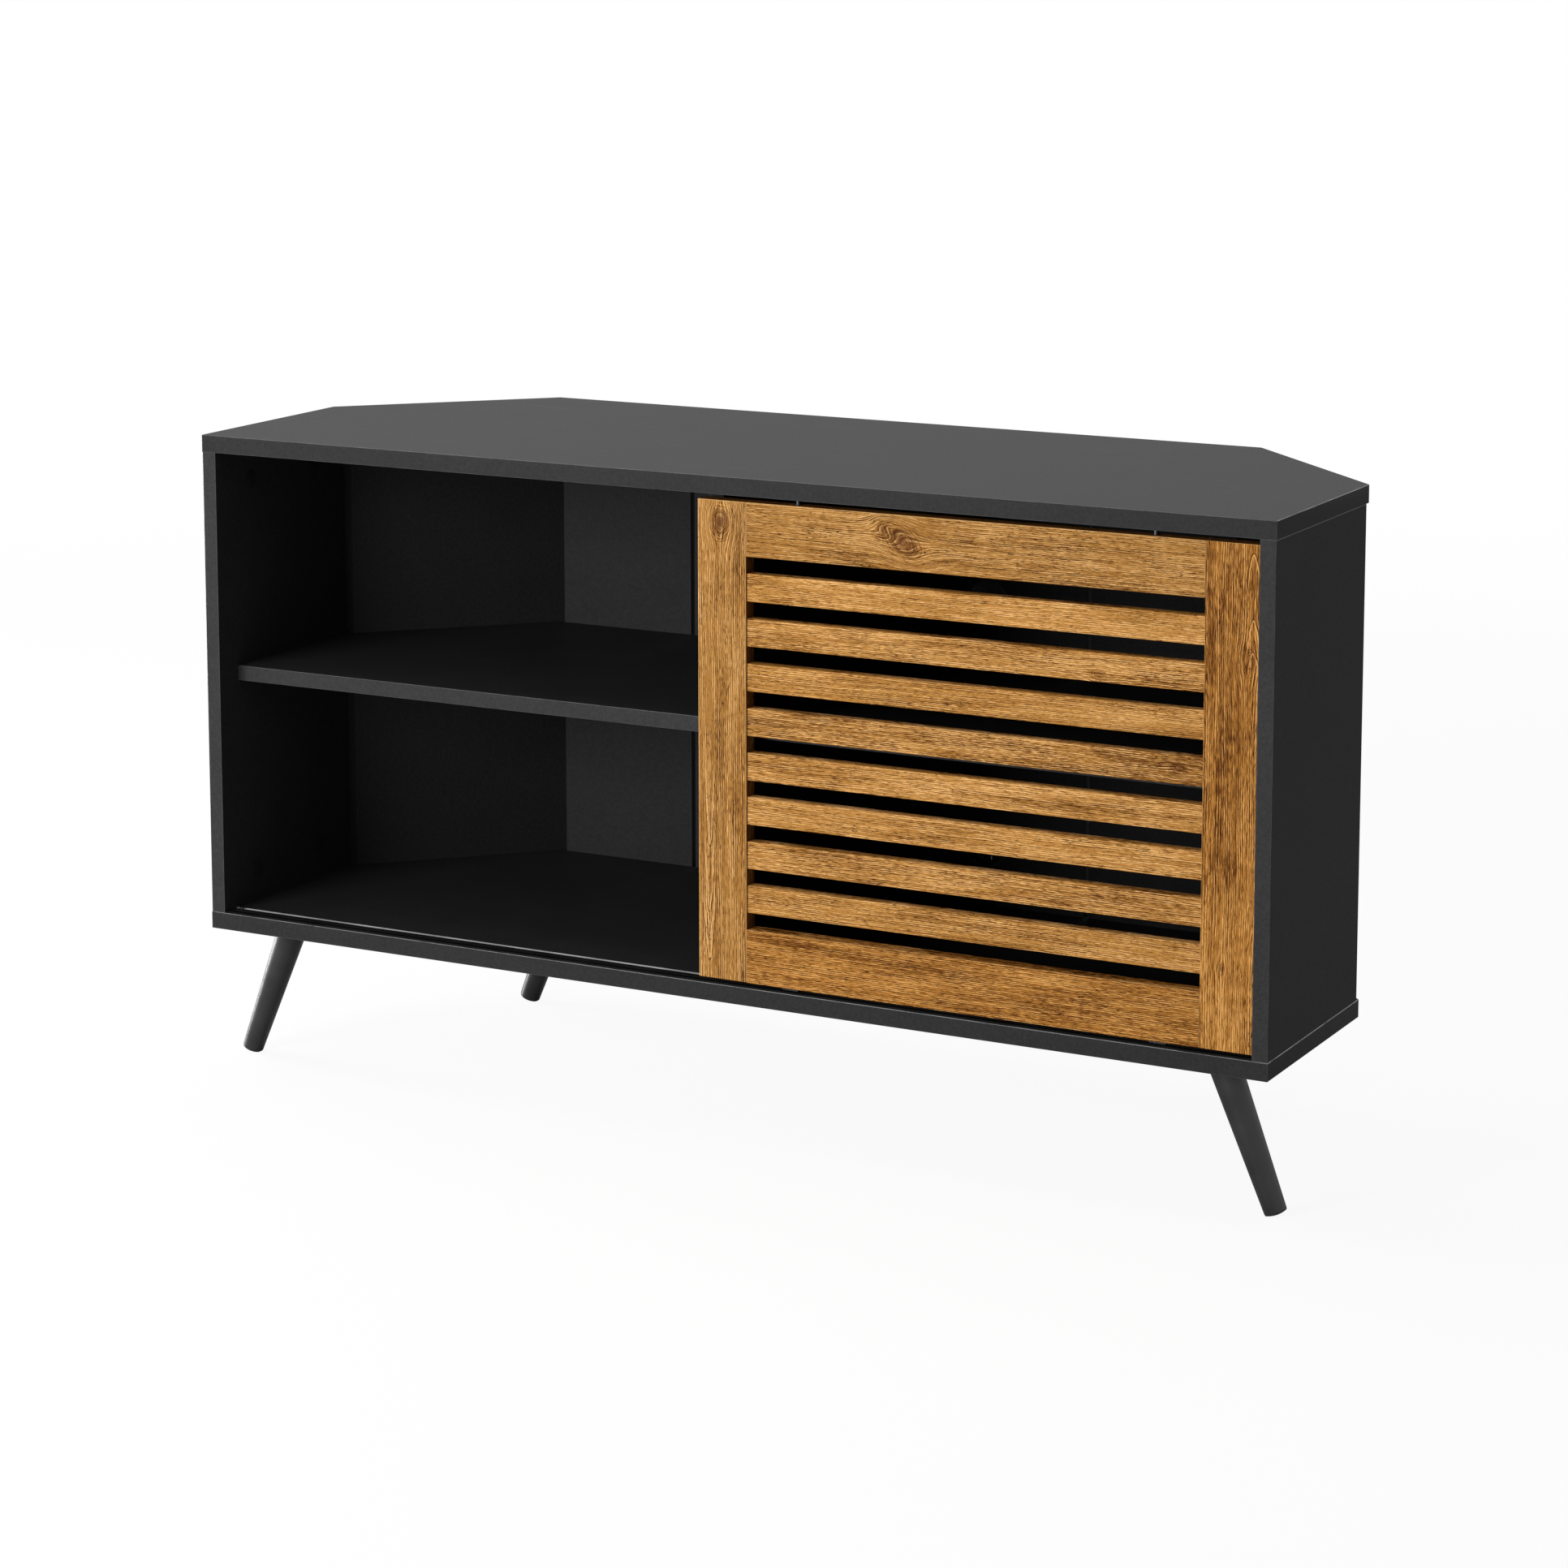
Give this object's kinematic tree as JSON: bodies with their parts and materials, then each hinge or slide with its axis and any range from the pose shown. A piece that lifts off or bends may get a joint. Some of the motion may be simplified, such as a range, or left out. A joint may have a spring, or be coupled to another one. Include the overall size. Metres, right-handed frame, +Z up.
{
  "type": "corner tv cabinet",
  "caption": "Six-sided corner media console with matt black boards, open shelved bays, splayed tapered legs and a slatted wood door that slides along the front.",
  "frame": {"origin": "on the ground, under the middle of the bounding box", "axes": "+X to the right seen from the front, +Y from the front to the back, +Z up"},
  "size_m": [1.118, 0.3984, 0.633],
  "materials": {
    "laminate": "matt black laminate",
    "interior": "matt black laminate",
    "wood": "brushed golden brown wood, lightly lacquered",
    "black_metal": "satin black powder coat",
    "bare_metal": "zinc-plated steel",
    "black_plastic": "moulded black plastic",
    "white_plastic": "moulded white nylon"
  },
  "bodies": {
    "cabinet": {"top_board": "laminate", "bottom_board": "laminate", "side_panel_left": "laminate", "side_panel_right": "laminate", "back_panel_slanted_left": "interior", "back_panel_slanted_right": "interior", "back_panel_left": "interior", "back_panel_middle": "interior", "back_panel_right": "interior", "centre_divider": "interior", "shelf_left": "interior", "shelf_right": "interior", "leg_front_left": "black_metal", "leg_front_right": "black_metal", "leg_rear_left": "black_metal", "leg_rear_right": "black_metal", "leg_plate_front_left": "black_metal", "leg_plate_front_right": "black_metal", "leg_plate_rear_left": "black_metal", "leg_plate_rear_right": "black_metal", "shelf_pin_left_1": "bare_metal", "shelf_pin_left_2": "bare_metal", "shelf_pin_left_3": "bare_metal", "shelf_pin_left_4": "bare_metal", "shelf_pin_right_1": "bare_metal", "shelf_pin_right_2": "bare_metal", "shelf_pin_right_3": "bare_metal", "shelf_pin_right_4": "bare_metal", "track_screw_left": "bare_metal", "track_screw_right": "bare_metal", "bottom_track": "black_plastic", "guide_channel": "black_plastic", "leg_glide_front_left": "black_plastic", "leg_glide_front_right": "black_plastic", "leg_glide_rear_left": "black_plastic", "leg_glide_rear_right": "black_plastic"},
    "door": {"door_stile_left": "wood", "door_stile_right": "wood", "door_rail_top": "wood", "door_rail_bottom": "wood", "door_slat_1": "wood", "door_slat_2": "wood", "door_slat_3": "wood", "door_slat_4": "wood", "door_slat_5": "wood", "door_slat_6": "wood", "door_slat_7": "wood", "door_slat_8": "wood", "guide_pin_left": "bare_metal", "guide_pin_right": "bare_metal", "guide_sleeve_left": "white_plastic", "guide_sleeve_right": "white_plastic", "roller_housing_left": "black_plastic", "roller_housing_right": "black_plastic", "roller_axle_left": "bare_metal", "roller_axle_right": "bare_metal"},
    "roller_left": {"roller_wheel_left": "white_plastic"},
    "roller_right": {"roller_wheel_right": "white_plastic"}
  },
  "joints": [
    {"name": "door_slide", "type": "slide", "parent": "cabinet", "child": "door", "axis": [1, 0, 0], "range_m": [-0.536, 0]},
    {"name": "roller_left_spin", "type": "hinge", "parent": "door", "child": "roller_left", "pos_m": [0.0848, -0.18825, 0.1619], "axis": [0, 1, 0], "range_deg": [-3080, 5]},
    {"name": "roller_right_spin", "type": "hinge", "parent": "door", "child": "roller_right", "pos_m": [0.4512, -0.18825, 0.1619], "axis": [0, 1, 0], "range_deg": [-3080, 5]}
  ],
  "couplings": [
    {"joint": "roller_left_spin", "follows": "door_slide", "rad_per_m": 100},
    {"joint": "roller_right_spin", "follows": "door_slide", "rad_per_m": 100}
  ]
}
